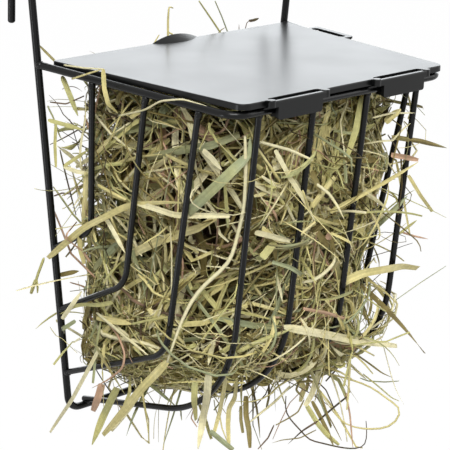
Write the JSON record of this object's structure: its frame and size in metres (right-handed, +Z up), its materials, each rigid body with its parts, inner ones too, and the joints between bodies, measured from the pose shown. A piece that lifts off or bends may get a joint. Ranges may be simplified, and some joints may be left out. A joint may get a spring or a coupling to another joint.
{
  "type": "hay feeder box",
  "caption": "Wire hay rack that hangs by hooks from a cage rail: a hooked back frame, a tapering grid of bent wires and a flat hinged lid clipped to the front of the rim.",
  "frame": {"origin": "middle of the cage rail that both hooks go over, halfway between the hooks", "axes": "+X to the right seen from the front, +Y to the back through the cage wall, +Z up"},
  "size_m": [0.209, 0.1776, 0.2718],
  "materials": {
    "frame_wire": "black powder coat on steel wire, satin",
    "rim_wire": "black powder coat on steel wire, satin",
    "grid_wire": "black powder coat on steel wire, satin",
    "lid_plastic": "moulded black plastic, semi-gloss"
  },
  "bodies": {
    "rack": {"back_frame": "frame_wire", "top_rim": "rim_wire", "front_wire_1": "grid_wire", "front_wire_2": "grid_wire", "front_wire_3": "grid_wire", "front_wire_4": "grid_wire", "left_side_wire_1": "grid_wire", "left_side_wire_2": "grid_wire", "left_side_wire_3": "grid_wire", "right_side_wire_1": "grid_wire", "right_side_wire_2": "grid_wire", "right_side_wire_3": "grid_wire"},
    "lid": {"lid": "lid_plastic"}
  },
  "joints": [
    {"name": "lid_hinge", "type": "hinge", "parent": "rack", "child": "lid", "pos_m": [0, -0.1549, -0.0463], "axis": [1, 0, 0], "range_deg": [0, 110]}
  ]
}
